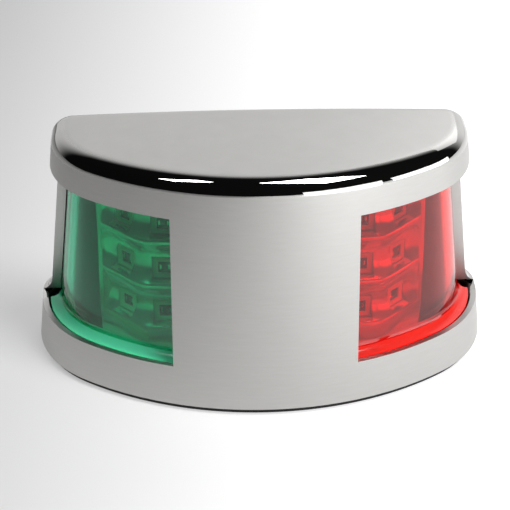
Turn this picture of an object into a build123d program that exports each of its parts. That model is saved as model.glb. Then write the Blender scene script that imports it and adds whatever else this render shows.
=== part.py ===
from build123d import *
import os
from math import atan2, cos, degrees, hypot, radians, sin, tan

# Two-colour bow light for a boat: a half-moon steel cover with a green and a red window, standing
# on a deck. Millimetres, Z up from the deck, bow end at -Y, green on the -X side.

os.makedirs("parts", exist_ok=True)

# Overall shape
width = 100.0
depth = 46.4
height = 54.0
rear_part = 12.4         # widest line to the flat back
yw = depth / 2 - rear_part  # the widest line, which the inner parts are placed from
side_radius = 26.0
corner_radius = 9.9
draft = 5.9              # all outer walls lean in by this many degrees
gasket_height = 1.4
gasket_inset = 1.0

# Steel cover
wall = 1.5
rim_top = 10.5
window_top = height - 9.5
panel_half = 19.75
dome_radius = 1150.0
lid_fillet = 4.0
ceiling = height - 2.1
ceiling_fillet = 2.4
column_outer = 1.8       # how far the side columns stand back from the rim and lid
column_inner = 3.9
column_lap = 4.0         # the columns run on round the rear corners by this much
recess_top_y = 6.4       # where the columns' recess ends, from the widest line
recess_foot_y = 7.8
column_from_x = 36.0
jamb_y = yw + 0.3        # front faces of the side columns
ledge = 1.5
cover_screw_x = 22.0
cover_screw_z = 7.6
cover_screw_radius = 1.5
cover_screw_tail = depth / 2 - 7.0
cover_screw_length = 6.1
nut_thickness = 1.8

# Lenses
lens_gap = 0.3
lens_wall = 2.2
lens_foot = 7.7
lens_top = height - 6.0
shelf_top = 10.2
shelf_inset = 2.0
shelf_fillet = 2.4
lens_rear_y = -0.6
split_half = 1.1
seal_height = 0.7

# Base
tray_inset = 2.0
floor_top = 3.6
tray_wall = 3.9
tray_rear_wall = 2.0
tab_top = 11.5
deck_hole_x = 36.0
deck_hole_y = yw + 1.4
deck_hole_radius = 2.2
outlet_y = yw + 0.6
outlet_radius = 3.0
grommet_radius = 4.2
cap_top = height - 4.0
cap_inset = 4.4

# Reflectors: plan corners on the +X side, three rows of troughs
end_corner = (34.4, yw - 7.0)
bend_outer = (27.5, yw - 13.8)
bend_inner = (25.0, yw - 15.5)
inner_end = (0.9, yw - 17.6)
reflector_depth = 3.9
row_pitch = (window_top - rim_top - 1.0) / 3
row_heights = [rim_top + 0.5 + row_pitch * (row + 0.5) for row in range(3)]
trough_chord = row_pitch - 0.8
trough_depth = 2.4
end_wall = 1.4
led_size = 5.0
led_height = 1.5
pocket_size = 5.5
led_drop = 2.0           # the chips sit this far below the middle of their troughs
side_led = 5.0           # along the side facet from its outer end
front_leds = (3.9, 14.4)  # along the front facet from its outer end
side_board_span = (1.6, 7.6)
front_board_end = 17.9
mitre_gap = 0.3
board_thickness = 1.2
board_foot = 5.0
board_top = lens_top - 0.5
board_screw_heights = (7.3, board_top - 1.7)
board_screw_radius = 0.8
screw_grip = 2.5
cap_screw_places = (7.4, 13.0)
screen_half = 0.8
screen_angle = 22.5      # light is cut off this far abaft the beam
screen_thickness = 1.4

# Electronics behind the reflectors
driver_y = yw - 3.6
driver_half = 19.4
driver_foot = 5.0
driver_top = 35.0
driver_thickness = 1.2
lead_radius = 0.6
fit_gap = 0.05

half_width = width / 2
front_reach = depth - rear_part
front_radius = (half_width ** 2 + front_reach ** 2 - 2 * half_width * side_radius) / (
    2 * (front_reach - side_radius)
)
front_centre = yw - front_reach + front_radius
lean = tan(radians(draft))
lens_inset = column_inner + lens_gap
core_inset = lens_inset + lens_wall + 0.4
tray_top = lens_foot - seal_height
driver_back = driver_y + driver_thickness


def half_moon(inset, rear_inset, corner):
    """Half-moon outline with tangent arcs, set in from the widest outline of the cover."""
    radius = side_radius - inset
    side_x = half_width - side_radius
    angle = atan2(yw - front_centre, side_x)
    join = (side_x + radius * cos(angle), yw + radius * sin(angle))
    middle = (side_x + radius * cos(angle / 2), yw + radius * sin(angle / 2))
    front_y = front_centre - (front_radius - inset)
    half_angle = (angle - radians(90)) / 2
    crown = (
        (front_radius - inset) * cos(half_angle),
        front_centre + (front_radius - inset) * sin(half_angle),
    )
    edge = half_width - inset
    rear = yw + rear_part - rear_inset
    with BuildSketch() as outline:
        with BuildLine():
            ThreePointArc((-join[0], join[1]), (-crown[0], crown[1]), (0, front_y))
            ThreePointArc((0, front_y), crown, join)
            ThreePointArc(join, middle, (edge, yw))
            Line((edge, yw), (edge, rear - corner))
            if corner > 0:
                RadiusArc((edge, rear - corner), (edge - corner, rear), -corner)
            Line((edge - corner, rear), (corner - edge, rear))
            if corner > 0:
                RadiusArc((corner - edge, rear), (-edge, rear - corner), -corner)
            Line((-edge, rear - corner), (-edge, yw))
            ThreePointArc((-edge, yw), (-middle[0], middle[1]), (-join[0], join[1]))
        make_face()
    return outline.sketch


def leaning_block(inset, low, high, rear_inset=None, corner=0.0):
    """Solid half-moon between two heights whose walls lean in like the cover's."""
    shift = (low - gasket_height) * lean
    rear = inset if rear_inset is None else rear_inset
    with BuildPart() as block:
        with BuildSketch(Plane.XY.offset(low)):
            add(half_moon(inset + shift, rear + shift, max(corner - shift, 0.0)))
        extrude(amount=high - low, taper=draft)
    return block.part


def slab(x_low, x_high, y_low, y_high, z_low, z_high):
    """Plain block between six faces."""
    with BuildPart() as block:
        with BuildSketch(Plane.XY.offset(z_low)):
            with Locations(((x_low + x_high) / 2, (y_low + y_high) / 2)):
                Rectangle(x_high - x_low, y_high - y_low)
        extrude(amount=z_high - z_low)
    return block.part


def slanted(foot_y, top_y, level):
    """Y at a height on a line given by its places at the window's foot and top."""
    return yw + foot_y + (top_y - foot_y) * (level - rim_top) / (window_top - rim_top)


def side_profile(*points):
    """Block as wide as the light with this profile, seen from the side."""
    with BuildPart() as block:
        with BuildSketch(Plane.YZ.offset(-70)):
            with BuildLine():
                Polyline(*points, close=True)
            make_face()
        extrude(amount=140)
    return block.part


def column_zone():
    """Block behind the front faces of the side columns."""
    low = rim_top - ledge
    high = window_top + ledge
    return side_profile(
        (jamb_y, low),
        (jamb_y, high),
        (slanted(recess_foot_y, recess_top_y, high) + column_lap, high),
        (slanted(recess_foot_y, recess_top_y, low) + column_lap, low),
    )


def ring(outer_inset, inner_inset, low, high, outer_rear=None, inner_rear=None, corner=0.0):
    """Leaning half-moon wall between two insets."""
    with BuildPart() as band:
        add(leaning_block(outer_inset, low, high, outer_rear, corner))
        add(leaning_block(inner_inset, low - 1, high + 1, inner_rear), mode=Mode.SUBTRACT)
    return band.part


def outside(radius):
    """Same radius all over, for edges that are arcs of the half-moon outline."""
    return lambda edge: edge.geom_type == GeomType.CIRCLE and abs(edge.radius - radius) < 0.05


# ---- Cover: lifts off as one with its screws, nuts and pad ----

lid_edge_z = height - dome_radius + (dome_radius ** 2 - 70 ** 2) ** 0.5
with BuildPart() as cavity:
    add(leaning_block(wall, gasket_height, ceiling, corner=corner_radius - wall))
    fillet(cavity.faces().sort_by(Axis.Z)[-1].edges(), ceiling_fillet)

with BuildPart() as recess_cut:
    add(
        side_profile(
            (-40, rim_top),
            (-40, window_top),
            (yw + recess_top_y, window_top),
            (yw + recess_foot_y, rim_top),
        )
    )

with BuildPart() as window_cut:
    add(recess_cut.part)
    add(slab(-panel_half, panel_half, -50, 50, 0, height), mode=Mode.SUBTRACT)

with BuildPart() as shell:
    add(leaning_block(0, gasket_height, height, corner=corner_radius))
    with BuildSketch(Plane.XZ):
        with BuildLine():
            Line((0, -1), (0, height))
            RadiusArc((0, height), (70, lid_edge_z), dome_radius)
            Line((70, lid_edge_z), (70, -1))
            Line((70, -1), (0, -1))
        make_face()
    revolve(axis=Axis.Z, mode=Mode.INTERSECT)
    fillet(shell.faces().sort_by(Axis.Z)[-1].edges(), lid_fillet)
    add(cavity.part, mode=Mode.SUBTRACT)
    add(window_cut.part, mode=Mode.SUBTRACT)

middle_block = slab(-column_from_x, column_from_x, -40, 40, 0, 60)
with BuildPart() as columns:
    add(ring(column_outer, column_inner, rim_top - ledge, window_top + ledge,
             corner=corner_radius - column_outer))
    add(column_zone(), mode=Mode.INTERSECT)
    add(middle_block, mode=Mode.SUBTRACT)

with BuildPart() as ledges:
    add(ring(wall / 2, column_inner, rim_top - ledge, window_top + ledge,
             corner=corner_radius - wall / 2))
    add(column_zone(), mode=Mode.INTERSECT)
    add(recess_cut.part, mode=Mode.SUBTRACT)
    add(middle_block, mode=Mode.SUBTRACT)

with BuildPart() as steel_cover:
    add(shell.part)
    add(columns.part)
    add(ledges.part)
    with BuildSketch(Plane.XZ.offset(-cover_screw_tail)):
        with Locations((-cover_screw_x, cover_screw_z), (cover_screw_x, cover_screw_z)):
            Circle(cover_screw_radius + fit_gap)
    extrude(amount=-10, mode=Mode.SUBTRACT)
steel_cover.part.label = "steel_cover"
export_step(steel_cover.part, "parts/steel_cover.step")

# Headless screws through the flat back, with nuts behind the base's slotted tabs
with BuildPart() as cover_screws:
    with BuildSketch(Plane.XZ.offset(-cover_screw_tail)):
        with Locations((-cover_screw_x, cover_screw_z), (cover_screw_x, cover_screw_z)):
            Circle(cover_screw_radius)
    extrude(amount=-cover_screw_length)
    with BuildSketch(Plane.XZ.offset(-cover_screw_tail - cover_screw_length)):
        with Locations((-cover_screw_x, cover_screw_z), (cover_screw_x, cover_screw_z)):
            RegularPolygon(0.87, 6)
    extrude(amount=1.6, mode=Mode.SUBTRACT)
cover_screws.part.label = "cover_screws"
export_step(cover_screws.part, "parts/cover_screws.step")

with BuildPart() as cover_nuts:
    with BuildSketch(Plane.XZ.offset(-cover_screw_tail)):
        with Locations((-cover_screw_x, cover_screw_z), (cover_screw_x, cover_screw_z)):
            RegularPolygon(3.1, 6)
            Circle(cover_screw_radius + fit_gap, mode=Mode.SUBTRACT)
    extrude(amount=-nut_thickness)
cover_nuts.part.label = "cover_nuts"
export_step(cover_nuts.part, "parts/cover_nuts.step")

with BuildPart() as cover_pad:
    add(slab(-24, 24, yw - 17, yw - 4, cap_top, ceiling))
    fillet(cover_pad.edges().filter_by(Axis.Z), 3.0)
cover_pad.part.label = "cover_pad"
export_step(cover_pad.part, "parts/cover_pad.step")

# ---- Lenses: a leaning wall behind each window and a shelf level with the rim ----

lens_rear = yw + lens_rear_y
foot_shift = lens_inset + (shelf_top - gasket_height) * lean
with BuildPart() as red_lens:
    add(leaning_block(lens_inset, lens_foot, lens_top))
    add(leaning_block(shelf_inset, lens_foot, shelf_top))
    fillet(
        red_lens.edges().filter_by(outside(side_radius - foot_shift))
        + red_lens.edges().filter_by(outside(front_radius - foot_shift)),
        shelf_fillet,
    )
    add(leaning_block(lens_inset + lens_wall, lens_foot - 1, lens_top + 1), mode=Mode.SUBTRACT)
    add(slab(split_half, 70, -40, lens_rear, 0, 60), mode=Mode.INTERSECT)
red_lens.part.label = "red_lens"
export_step(red_lens.part, "parts/red_lens.step")

with BuildPart() as green_lens:
    add(red_lens.part.mirror(Plane.YZ))
green_lens.part.label = "green_lens"
export_step(green_lens.part, "parts/green_lens.step")

with BuildPart() as lens_seal:
    add(ring(shelf_inset + 0.4, lens_inset + lens_wall, tray_top, lens_foot))
    add(slab(-70, 70, -40, lens_rear, 0, 60), mode=Mode.INTERSECT)
lens_seal.part.label = "lens_seal"
export_step(lens_seal.part, "parts/lens_seal.step")

# ---- Reflectors, light boards and screens ----


def heading(start, end):
    """Unit vector from one plan point to another."""
    length = hypot(end[0] - start[0], end[1] - start[1])
    return ((end[0] - start[0]) / length, (end[1] - start[1]) / length)


def outward(along):
    """Plan normal of a facet that runs toward the middle, pointing at the lens."""
    return (-along[1], along[0])


def shifted(point, direction, amount):
    """Plan point moved along a direction."""
    return (point[0] + direction[0] * amount, point[1] + direction[1] * amount)


def crossing(point_a, along_a, point_b, along_b):
    """Plan point where two lines cross."""
    turn = along_a[0] * along_b[1] - along_a[1] * along_b[0]
    reach = (
        (point_b[0] - point_a[0]) * along_b[1] - (point_b[1] - point_a[1]) * along_b[0]
    ) / turn
    return shifted(point_a, along_a, reach)


def facet_plane(point, along, back):
    """Upright plane at a given depth behind a facet: X along it, Y up, Z away from the lens."""
    normal = outward(along)
    origin = shifted(point, normal, -back)
    return Plane(
        origin=(origin[0], origin[1], 0),
        x_dir=(along[0], along[1], 0),
        z_dir=(-normal[0], -normal[1], 0),
    )


side_along = heading(end_corner, bend_outer)
side_normal = outward(side_along)
front_along = heading(bend_inner, inner_end)
front_normal = outward(front_along)
trough_radius = ((trough_chord / 2) ** 2 + trough_depth ** 2) / (2 * trough_depth)
back_corner = shifted(end_corner, side_normal, -reflector_depth)
back_front = shifted(bend_inner, front_normal, -reflector_depth)
back_bend = crossing(back_corner, side_along, back_front, front_along)
mitre = hypot(back_bend[0] - back_front[0], back_bend[1] - back_front[1])
led_heights = [level - led_drop for level in row_heights]
led_spots = [(end_corner, side_along, side_led)] + [
    (bend_inner, front_along, place) for place in front_leds
]
board_spans = [
    (end_corner, side_along, side_board_span),
    (bend_inner, front_along, (mitre + mitre_gap, front_board_end)),
]

with BuildPart() as red_reflector:
    with BuildSketch(Plane.XY.offset(floor_top)):
        with BuildLine():
            Polyline(
                shifted(end_corner, side_along, -end_wall),
                shifted(back_corner, side_along, -end_wall),
                back_bend,
                crossing(back_front, front_along, (inner_end[0], 0), (0, 1)),
                inner_end,
                bend_inner,
                bend_outer,
                end_corner,
                close=True,
            )
        make_face()
    extrude(amount=lens_top - floor_top)
    for start, end, early, late in (
        (end_corner, bend_outer, 0, 3),
        (bend_outer, bend_inner, 3, 3),
        (bend_inner, inner_end, 3, 3),
    ):
        run = heading(start, end)
        length = hypot(end[0] - start[0], end[1] - start[1])
        first = shifted(start, run, -early)
        with BuildSketch(
            Plane(
                origin=(first[0], first[1], 0),
                x_dir=(outward(run)[0], outward(run)[1], 0),
                z_dir=(run[0], run[1], 0),
            )
        ):
            with Locations(*[(trough_radius - trough_depth, level) for level in row_heights]):
                Circle(trough_radius)
        extrude(amount=length + early + late, mode=Mode.SUBTRACT)
    for start, run, place in led_spots:
        with BuildSketch(facet_plane(start, run, 0)):
            with Locations(*[(place, level) for level in led_heights]):
                Rectangle(pocket_size, pocket_size)
        extrude(amount=reflector_depth, mode=Mode.SUBTRACT)
    for start, run, span in board_spans:
        with BuildSketch(facet_plane(start, run, reflector_depth - screw_grip)):
            with Locations(*[(sum(span) / 2, level) for level in board_screw_heights]):
                Circle(board_screw_radius)
        extrude(amount=5, mode=Mode.SUBTRACT)
    add(leaning_block(core_inset, floor_top - 1, lens_top + 1), mode=Mode.INTERSECT)
cap_screw_spots = [
    shifted(shifted(start, run, place), outward(run), -reflector_depth / 2)
    for start, run, place in (
        (end_corner, side_along, cap_screw_places[0]),
        (bend_inner, front_along, cap_screw_places[1]),
    )
]
with BuildPart() as red_reflector_drilled:
    add(red_reflector.part)
    with BuildSketch(Plane.XY.offset(lens_top)):
        with Locations(*cap_screw_spots):
            Circle(board_screw_radius)
    extrude(amount=-2.5, mode=Mode.SUBTRACT)
red_reflector_drilled.part.label = "red_reflector"
export_step(red_reflector_drilled.part, "parts/red_reflector.step")

with BuildPart() as green_reflector:
    add(red_reflector_drilled.part.mirror(Plane.YZ))
green_reflector.part.label = "green_reflector"
export_step(green_reflector.part, "parts/green_reflector.step")

with BuildPart() as red_leds:
    for start, run, place in led_spots:
        with BuildSketch(facet_plane(start, run, reflector_depth - led_height)):
            with Locations(*[(place, level) for level in led_heights]):
                Rectangle(led_size, led_size)
        extrude(amount=led_height)
red_leds.part.label = "red_leds"
export_step(red_leds.part, "parts/red_leds.step")

with BuildPart() as green_leds:
    add(red_leds.part.mirror(Plane.YZ))
green_leds.part.label = "green_leds"
export_step(green_leds.part, "parts/green_leds.step")

for board_name, (start, run, span) in zip(("side_board", "front_board"), board_spans):
    with BuildPart() as red_board:
        with BuildSketch(facet_plane(start, run, reflector_depth)):
            with Locations((sum(span) / 2, (board_foot + board_top) / 2)):
                Rectangle(span[1] - span[0], board_top - board_foot)
            with Locations(*[(sum(span) / 2, level) for level in board_screw_heights]):
                Circle(board_screw_radius + 0.1, mode=Mode.SUBTRACT)
        extrude(amount=board_thickness)
    red_board.part.label = "red_" + board_name
    export_step(red_board.part, "parts/red_" + board_name + ".step")
    with BuildPart() as green_board:
        add(red_board.part.mirror(Plane.YZ))
    green_board.part.label = "green_" + board_name
    export_step(green_board.part, "parts/green_" + board_name + ".step")

with BuildPart() as half_board_screws:
    for start, run, span in board_spans:
        spots = [(sum(span) / 2, level) for level in board_screw_heights]
        with BuildSketch(facet_plane(start, run, reflector_depth - screw_grip)):
            with Locations(*spots):
                Circle(board_screw_radius)
        extrude(amount=screw_grip + board_thickness)
        with BuildSketch(facet_plane(start, run, reflector_depth + board_thickness)):
            with Locations(*spots):
                Circle(1.5)
        extrude(amount=1.1)
        with BuildSketch(facet_plane(start, run, reflector_depth + board_thickness + 1.1)):
            with Locations(*spots):
                Rectangle(2.2, 0.4)
                Rectangle(0.4, 2.2)
        extrude(amount=-0.5, mode=Mode.SUBTRACT)

with BuildPart() as board_screws:
    add(half_board_screws.part)
    add(half_board_screws.part.mirror(Plane.YZ))
board_screws.part.label = "board_screws"
export_step(board_screws.part, "parts/board_screws.step")

# Upright screen between the two colours
screen_back = back_front[1] + 0.1
with BuildPart() as centre_screen:
    add(slab(-screen_half, screen_half, -40, screen_back, lens_foot, lens_top))
    add(leaning_block(lens_inset, lens_foot, lens_top), mode=Mode.INTERSECT)
    add(slab(-screen_half, screen_half, yw - 22, screen_back, floor_top, lens_foot))
centre_screen.part.label = "centre_screen"
export_step(centre_screen.part, "parts/centre_screen.step")

# Screens that cut the light off abaft the beam
screen_along = (cos(radians(screen_angle)), sin(radians(screen_angle)))
screen_normal = (-screen_along[1], screen_along[0])
screen_start = shifted(end_corner, side_along, -end_wall - 0.1)
screen_far = shifted(screen_start, screen_along, 14)
screen_skew = screen_thickness / -(
    side_normal[0] * screen_normal[0] + side_normal[1] * screen_normal[1]
)
with BuildPart() as red_side_screen:
    with BuildSketch(Plane.XY.offset(floor_top)):
        with BuildLine():
            Polyline(
                screen_start,
                screen_far,
                shifted(screen_far, screen_normal, screen_thickness),
                shifted(screen_start, side_normal, -screen_skew),
                close=True,
            )
        make_face()
    extrude(amount=lens_top - floor_top)
    add(leaning_block(core_inset, floor_top - 1, lens_top + 1), mode=Mode.INTERSECT)
red_side_screen.part.label = "red_side_screen"
export_step(red_side_screen.part, "parts/red_side_screen.step")

with BuildPart() as green_side_screen:
    add(red_side_screen.part.mirror(Plane.YZ))
green_side_screen.part.label = "green_side_screen"
export_step(green_side_screen.part, "parts/green_side_screen.step")

# ---- Base, cap, gasket and outlet ----

both_deck_holes = [(-deck_hole_x, deck_hole_y), (deck_hole_x, deck_hole_y)]
with BuildPart() as tab_zone:
    for spot in (-cover_screw_x, cover_screw_x):
        add(slab(spot - 5, spot + 5, yw, 40, 0, 40))

with BuildPart() as tabs:
    add(ring(tray_inset, tray_inset + tray_wall, floor_top, tab_top, tray_inset,
             tray_inset + tray_rear_wall))
    add(tab_zone.part, mode=Mode.INTERSECT)

with BuildPart() as base_tray:
    add(leaning_block(tray_inset, gasket_height, tray_top, corner=corner_radius - tray_inset))
    add(
        leaning_block(tray_inset + tray_wall, floor_top, tray_top + 1, tray_inset + tray_rear_wall),
        mode=Mode.SUBTRACT,
    )
    add(tabs.part)
    for spot in (-cover_screw_x, cover_screw_x):
        add(slab(spot - cover_screw_radius - 0.4, spot + cover_screw_radius + 0.4, yw, 40,
                 cover_screw_z - cover_screw_radius - 0.4, 40), mode=Mode.SUBTRACT)
    with BuildSketch(Plane.XY.offset(floor_top)):
        with Locations(*both_deck_holes):
            Circle(deck_hole_radius + 2.0)
    extrude(amount=1.2)
    for post in (-driver_half - 0.8, driver_half + 0.8):
        add(slab(post - 2, post + 2, driver_y - 1.5, driver_back + 1.5, floor_top, 16))
    add(slab(-driver_half - fit_gap, driver_half + fit_gap, driver_y - fit_gap,
             driver_back + fit_gap, driver_foot, 40), mode=Mode.SUBTRACT)
    with BuildSketch(Plane.XY):
        with Locations(*both_deck_holes):
            Circle(deck_hole_radius)
        with Locations((0, outlet_y)):
            Circle(grommet_radius + fit_gap)
    extrude(amount=10, mode=Mode.SUBTRACT)
base_tray.part.label = "base_tray"
export_step(base_tray.part, "parts/base_tray.step")

with BuildPart() as deck_gasket:
    with BuildSketch():
        add(half_moon(gasket_inset, gasket_inset, corner_radius - gasket_inset))
        with Locations(*both_deck_holes):
            Circle(deck_hole_radius, mode=Mode.SUBTRACT)
        with Locations((0, outlet_y)):
            Circle(grommet_radius + fit_gap, mode=Mode.SUBTRACT)
    extrude(amount=gasket_height)
deck_gasket.part.label = "deck_gasket"
export_step(deck_gasket.part, "parts/deck_gasket.step")

with BuildPart() as cable_grommet:
    with BuildSketch(Plane.XY.offset(0.2)):
        with Locations((0, outlet_y)):
            Circle(grommet_radius)
    extrude(amount=floor_top - 0.2)
    with BuildSketch(Plane.XY.offset(floor_top)):
        with Locations((0, outlet_y)):
            Circle(grommet_radius + 0.8)
    extrude(amount=1.0)
    with BuildSketch(Plane.XY):
        with Locations((0, outlet_y)):
            Circle(outlet_radius)
    extrude(amount=8, mode=Mode.SUBTRACT)
cable_grommet.part.label = "cable_grommet"
export_step(cable_grommet.part, "parts/cable_grommet.step")

all_cap_spots = cap_screw_spots + [(-spot[0], spot[1]) for spot in cap_screw_spots]
with BuildPart() as top_cap:
    add(leaning_block(cap_inset, lens_top, cap_top))
    add(slab(-70, 70, -40, yw - 1.0, 0, 70), mode=Mode.INTERSECT)
    with BuildSketch(Plane.XY.offset(lens_top)):
        with Locations(*all_cap_spots):
            Circle(board_screw_radius + 0.1)
    extrude(amount=5, mode=Mode.SUBTRACT)
    with BuildSketch(Plane.XY.offset(cap_top - 1.2)):
        with Locations(*all_cap_spots):
            Circle(1.7)
    extrude(amount=5, mode=Mode.SUBTRACT)
top_cap.part.label = "top_cap"
export_step(top_cap.part, "parts/top_cap.step")

with BuildPart() as cap_screws:
    with BuildSketch(Plane.XY.offset(lens_top - 2.5)):
        with Locations(*all_cap_spots):
            Circle(board_screw_radius)
    extrude(amount=3.5)
    with BuildSketch(Plane.XY.offset(cap_top - 1.2)):
        with Locations(*all_cap_spots):
            Circle(1.6)
    extrude(amount=1.1)
    with BuildSketch(Plane.XY.offset(cap_top - 0.1)):
        with Locations(*all_cap_spots):
            Rectangle(2.2, 0.4)
            Rectangle(0.4, 2.2)
    extrude(amount=-0.5, mode=Mode.SUBTRACT)
cap_screws.part.label = "cap_screws"
export_step(cap_screws.part, "parts/cap_screws.step")

# ---- Driver electronics ----

with BuildPart() as driver_board:
    add(slab(-driver_half, driver_half, driver_y, driver_back, driver_foot, driver_top))
driver_board.part.label = "driver_board"
export_step(driver_board.part, "parts/driver_board.step")

with BuildPart() as inductor:
    with BuildSketch(Plane.XZ.offset(-driver_back)):
        with Locations((-11, 26)):
            Circle(4.2)
    extrude(amount=-4.4)
    fillet(inductor.edges().sort_by(Axis.Y)[-1], 0.8)
inductor.part.label = "inductor"
export_step(inductor.part, "parts/inductor.step")

with BuildPart() as capacitor:
    with BuildSketch(Plane.XZ.offset(-driver_back)):
        with Locations((11, 26)):
            Circle(3.15)
    extrude(amount=-5.8)
    fillet(capacitor.edges().sort_by(Axis.Y)[-1], 0.5)
capacitor.part.label = "capacitor"
export_step(capacitor.part, "parts/capacitor.step")

with BuildPart() as regulator:
    add(slab(-3.3, 3.3, driver_back, driver_back + 2.3, 23, 29.1))
    chamfer(regulator.faces().sort_by(Axis.Y)[-1].edges(), 0.3)
regulator.part.label = "regulator"
export_step(regulator.part, "parts/regulator.step")

with BuildPart() as diode:
    add(slab(-2.2, 2.2, driver_back, driver_back + 2.1, 30.6, 33.6))
    chamfer(diode.faces().sort_by(Axis.Y)[-1].edges(), 0.3)
diode.part.label = "diode"
export_step(diode.part, "parts/diode.step")

terminal_rear = driver_back + 6.8
with BuildPart() as terminal_block:
    add(slab(-7.6, 7.6, driver_back, terminal_rear, 11.5, 20.5))
    with BuildSketch(Plane.XY.offset(11.5)):
        with Locations((-3.8, driver_back + 3.4), (3.8, driver_back + 3.4)):
            Circle(1.7)
    extrude(amount=5, mode=Mode.SUBTRACT)
    with BuildSketch(Plane.XZ.offset(-terminal_rear)):
        with Locations((-3.8, 18), (3.8, 18)):
            Circle(1.9)
    extrude(amount=3, mode=Mode.SUBTRACT)
terminal_block.part.label = "terminal_block"
export_step(terminal_block.part, "parts/terminal_block.step")

with BuildPart() as terminal_screws:
    with BuildSketch(Plane.XZ.offset(-terminal_rear + 3)):
        with Locations((-3.8, 18), (3.8, 18)):
            Circle(1.85)
    extrude(amount=-2)
    with BuildSketch(Plane.XZ.offset(-terminal_rear + 1)):
        with Locations((-3.8, 18), (3.8, 18)):
            Rectangle(3.0, 0.5)
    extrude(amount=0.6, mode=Mode.SUBTRACT)
terminal_screws.part.label = "terminal_screws"
export_step(terminal_screws.part, "parts/terminal_screws.step")

# Leads from the driver board to each front light board
with BuildPart() as red_leads:
    for lead_x in (9.0, 11.0):
        board_point = crossing(
            shifted(bend_inner, front_normal, -reflector_depth - board_thickness - 0.08),
            front_along, (lead_x, 0), (0, 1),
        )
        with BuildLine() as route:
            FilletPolyline(
                (lead_x, driver_y, 31),
                (lead_x, driver_y - 2.6, 31),
                (lead_x, driver_y - 2.6, 26),
                (lead_x, board_point[1], 26),
                radius=1.2,
            )
        with BuildSketch(Plane(origin=(lead_x, driver_y, 31), z_dir=(0, -1, 0))):
            Circle(lead_radius)
        sweep(path=route.line)
red_leads.part.label = "red_leads"
export_step(red_leads.part, "parts/red_leads.step")

with BuildPart() as green_leads:
    add(red_leads.part.mirror(Plane.YZ))
green_leads.part.label = "green_leads"
export_step(green_leads.part, "parts/green_leads.step")
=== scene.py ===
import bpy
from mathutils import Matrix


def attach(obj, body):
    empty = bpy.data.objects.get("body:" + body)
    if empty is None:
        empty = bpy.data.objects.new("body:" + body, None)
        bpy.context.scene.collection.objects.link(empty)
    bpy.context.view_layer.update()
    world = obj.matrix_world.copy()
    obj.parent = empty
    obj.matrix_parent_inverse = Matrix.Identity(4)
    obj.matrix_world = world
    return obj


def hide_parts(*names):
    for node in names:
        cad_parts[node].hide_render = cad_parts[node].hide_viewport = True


bl_info = {
    "name": "Bow Navigation Light",
    "version": (1, 0, 0),
    "blender": (4, 5, 0),
    "location": "View3D > Sidebar > Bow Light",
    "description": "Builds the looks of a two-colour bow light around its packed frame",
    "category": "Object",
}

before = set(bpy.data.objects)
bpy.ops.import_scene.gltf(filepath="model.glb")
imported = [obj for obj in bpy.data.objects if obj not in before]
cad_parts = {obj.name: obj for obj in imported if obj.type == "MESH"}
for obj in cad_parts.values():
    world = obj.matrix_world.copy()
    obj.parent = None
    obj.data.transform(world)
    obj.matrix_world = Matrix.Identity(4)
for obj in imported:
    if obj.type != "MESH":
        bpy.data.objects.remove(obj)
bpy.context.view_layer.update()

from math import asin, atan2, cos, degrees, pi, radians, sin, tan

import bmesh
import bpy
from mathutils import Matrix, Vector

MM = 0.001

# Vertices nearer than this, in metres, are one; edges sharper than this, in degrees, stay sharp
SEAM = 2e-6
SHARP_EDGE = 30.0

# Outline and heights of the cover, in millimetres, as the frame has them
WIDTH = 100.0
DEPTH = 46.4
HEIGHT = 54.0
REAR_PART = 12.4
SIDE_RADIUS = 26.0
CORNER_RADIUS = 9.9
DRAFT = 5.9
BASE_LINE = 1.4
RIM_TOP = 10.5
WINDOW_TOP = 44.5
PANEL_HALF = 19.75
DOME_RADIUS = 1150.0
LID_FILLET = 4.0
LID_MIDDLE_Y = 3.0
LID_RINGS = (0.93, 0.84, 0.72, 0.58, 0.42, 0.24, 0.08)
SHEET = 1.3
RIM_LEVELS = (BASE_LINE, 2.2, 4.5, 7.5, 9.8, RIM_TOP)
LID_LEVELS = (WINDOW_TOP, WINDOW_TOP + 0.7, 47.0)
RECESS = 1.8
FOOT_FLARE = 2.6
COLUMN_INNER = 3.9
RECESS_END_TOP = 6.4
RECESS_END_FOOT = 7.8

# Height up to which the lens feet get a lighter painted glow, and height of an LED package
PAINTED_GLOW_TOP = 11.6
LED_THICKNESS = 1.5

# Roughness of the steel on its flats and on its rounded edges
SATIN = 0.4
BUFFED = 0.06

WIDEST_Y = DEPTH / 2 - REAR_PART
JAMB_Y = WIDEST_Y + 0.3
HALF_WIDTH = WIDTH / 2
FRONT_REACH = DEPTH - REAR_PART
FRONT_RADIUS = (HALF_WIDTH**2 + FRONT_REACH**2 - 2 * HALF_WIDTH * SIDE_RADIUS) / (
    2 * (FRONT_REACH - SIDE_RADIUS)
)
FRONT_CENTRE = WIDEST_Y - FRONT_REACH + FRONT_RADIUS
JOIN_TURN = 90 + degrees(atan2(WIDEST_Y - FRONT_CENTRE, HALF_WIDTH - SIDE_RADIUS))
LEAN = tan(radians(DRAFT))


# Stage, in metres and degrees: name, place, size and radiance of each lamp, then the camera
FLOOR_REACH = 3.0
LAMPS = (
    ("low front box", (0.15, -0.22, 0.05), (0.16, 0.10), 2.5),
    ("high front box", (0.15, -0.13, 0.50), (0.15, 0.28), 17.0),
    ("left strip box", (-0.17, -0.12, 0.46), (0.05, 0.16), 20.0),
    ("rear box", (0.32, 0.45, 0.42), (0.5, 0.3), 0.9),
    ("side box", (0.42, -0.12, 0.07), (0.3, 0.13), 3.0),
)
LAMP_AIM = Vector((0, 0, 0.03))
CAMERA_AZIMUTH = -2.57
CAMERA_ELEVATION = 32.0
CAMERA_ROLL = 0.13
CAMERA_AIM = Vector((0, -0.0092, 0.025))
CAMERA_DISTANCE = 0.4
CAMERA_LENS = 132
CAMERA_SHIFT = (-0.0175, 0.0526)


# ---------------------------------------------------------------- small tools


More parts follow.
